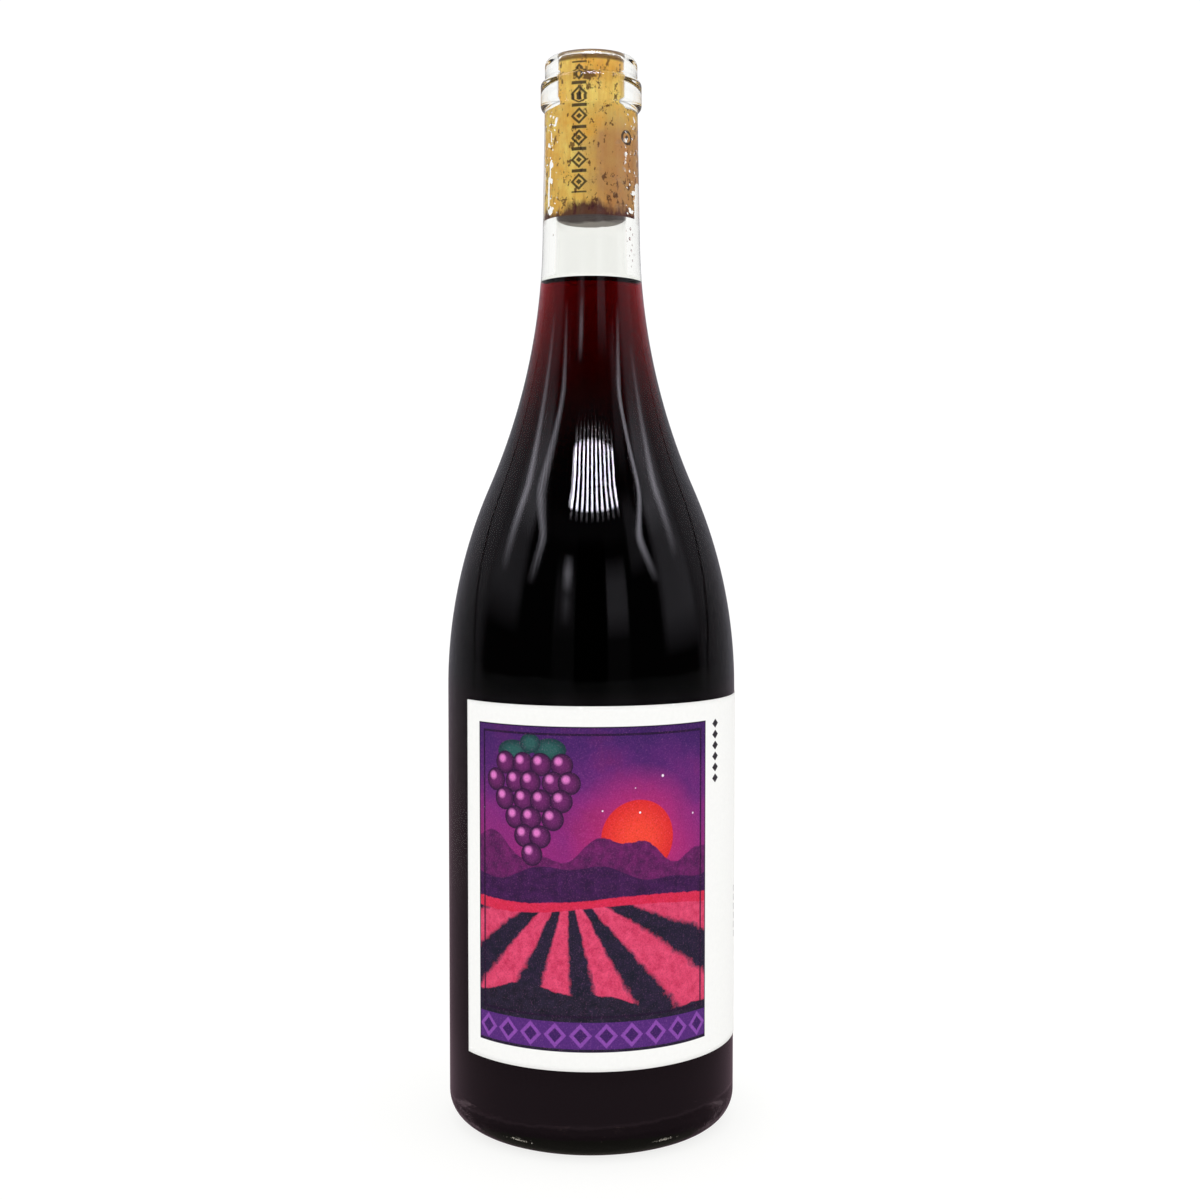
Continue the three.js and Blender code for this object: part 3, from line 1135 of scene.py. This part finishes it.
def window_light(turn, rise):
    """A bright window behind a beaded, striped blind."""
    stripe = ((turn - WINDOW_LEFT) / STRIPE_PITCH).math("FRACT")
    stripe = (STRIPE_HALF - (stripe - 0.5).math("ABSOLUTE")).edge(0.08)
    beaded = ((rise * 1.7 + turn * 0.4).math("SINE") * 0.5 + 0.5) * 0.5 + 0.5
    window = span(turn, WINDOW_LEFT, WINDOW_RIGHT, 0.8) * stripe
    tails = (rise - 39.6).edge(2.2) * beaded * 1.6
    light = window * ((rise - WINDOW_FOOT).edge(0.9) * (18 + beaded * 10) + tails)
    jamb = span(turn, WINDOW_LEFT - 1, WINDOW_LEFT + 4, 1) * (rise - 42).edge(1)
    return light + jamb * beaded * 12


def pane_light(turn, rise, side, right):
    """A tall pane on each side that leans outwards above its bend, and one further round."""
    above = rise - PANE_BEND
    climb = ((above * above + 4).math("SQRT") + above) / 2
    middle = PANE_TURN + (climb - above) * (0.6 + right * 0.4) + climb * (2.3 - right * 0.6)
    hatching = 1 - (1 - right) * ((turn * 1.7 - rise * 0.5).math("SINE") * 0.5 + 0.5) * 0.45
    pane = hump(side, middle, PANE_REACH + climb * (1 - right) * 0.9) * hatching
    light = pane * ((rise - 19.5) / 13).clamp() * (3.5 + right * 0.7)
    far = hump(side, SIDE_PANE_TURN, SIDE_PANE_REACH)
    return light + far * ((rise - 18 - right * 3) / 15).clamp() * 3.0


def wall_light(turn, rise, side, right):
    """Soft grey walls beside the panes, a lamp low on the left, and pale boards by the camera."""
    wall = 0.22 + right * 0.1 + ((rise - 28) / 12).clamp() * 0.6
    light = span(side, 63, 97, 7) * span(rise, 12 - right * 5, 40, 9) * wall
    light += span(turn, 37, 50, 3) * span(rise, 25, 42, 5) * 0.13
    light += hump(turn, -21, 5.5) * (hump(rise, 25, 5) * 2.3 + hump(rise, 17.5, 6) * 0.4)
    light += span(side, 13.5, 31, 2.5) * span(rise, 12, 26, 7) * (0.08 + right * 0.22)
    light += span(side, 13.5, 31, 2) * (12 - rise).edge(6) * 0.025
    return light + (45 - side).edge(10) * span(rise, 33, 39.5, 3) * 0.02


def back_light(rise, side):
    """The dim wall behind the bottle, brighter above and straight behind."""
    wall = 0.08 + (rise - 6).edge(8) * 0.03 + (rise - 14).edge(14) * 0.08
    return (side - 98).edge(10) * (wall + ((side - 112) / 40).clamp() * 0.13)


def room_light(turn, rise):
    """All of it, crossed by a dark seam on each side and the camera's own dark shape."""
    side = turn.math("ABSOLUTE")
    right = turn.edge(1.0)
    light = window_light(turn, rise) + pane_light(turn, rise, side, right)
    light += wall_light(turn, rise, side, right)
    light += back_light(rise, side) + 0.012
    seam = 106 + rise.math("MAXIMUM", 0) * 0.9
    light = light * (1 - (1.6 - (side - seam).math("ABSOLUTE")).edge(1.0) * 0.85)
    return light * (1 - (13 - side).edge(1.0) * (34 - rise).edge(4) * 0.8)


print("the mirrored window starts", WINDOW_FOOT, "degrees up")

# %% Room
OPEN_AIR = 1.05
OVERHEAD = 44
BACK_OF_GLASS = 108
GREY_TINT = (0.97, 0.94, 1.06)
TABLE_TINT = (1.3, 0.88, 1.07)
GLINT_TINT = (1.08, 1.0, 0.86)


def paint_room():
    """White to the eye and on matt surfaces, darker overhead through glass, dim in a mirror."""
    scene.world = bpy.data.worlds.new("studio")
    paint = Paint(scene.world, "ShaderNodeOutputWorld")
    x, y, z = paint.axes(paint.node("ShaderNodeTexCoord").outputs["Generated"])
    turn = x.math("ARCTAN2", -y) / math.radians(1)
    rise = z.math("ARCSINE") / math.radians(1)
    rays = paint.node("ShaderNodeLightPath")
    scattered = paint.field(rays, "Diffuse Depth").clamp()
    through = paint.field(rays, "Is Transmission Ray")
    overhead = (rise - OVERHEAD).edge(12) * (1 - scattered) * 0.9
    white = OPEN_AIR + through * (scattered * 0.5 - overhead)
    open_air = paint.node("ShaderNodeBackground", Color=(1.0, 1.0, 1.0), Strength=white)
    below = (-7 - rise).edge(6)
    dim = room_light(turn, rise) * (1 - below) + table_light(turn, rise) * below
    low_tint = paint.blend((-44 - rise).edge(8), TABLE_TINT, GLINT_TINT)
    colour = paint.blend(below, GREY_TINT, low_tint)
    mirror = paint.node("ShaderNodeBackground", Color=colour, Strength=dim)
    inside = paint.field(rays, "Glossy Depth").clamp()
    inside = inside * (BACK_OF_GLASS - turn.math("ABSOLUTE")).edge(16)
    mirrored = paint.field(rays, "Is Reflection Ray").math("MAXIMUM", inside) * (1 - scattered)
    mix = paint.node("ShaderNodeMixShader", _0=mirrored, _1=open_air.outputs[0],
                     _2=mirror.outputs[0])
    paint.plug(paint.output.inputs["Surface"], mix.outputs[0])
    print("the room has", len(paint.tree.nodes), "nodes")


paint_room()

# %% Colours are shown as they are
scene.view_settings.view_transform = "Standard"
print("view transform:", scene.view_settings.view_transform)
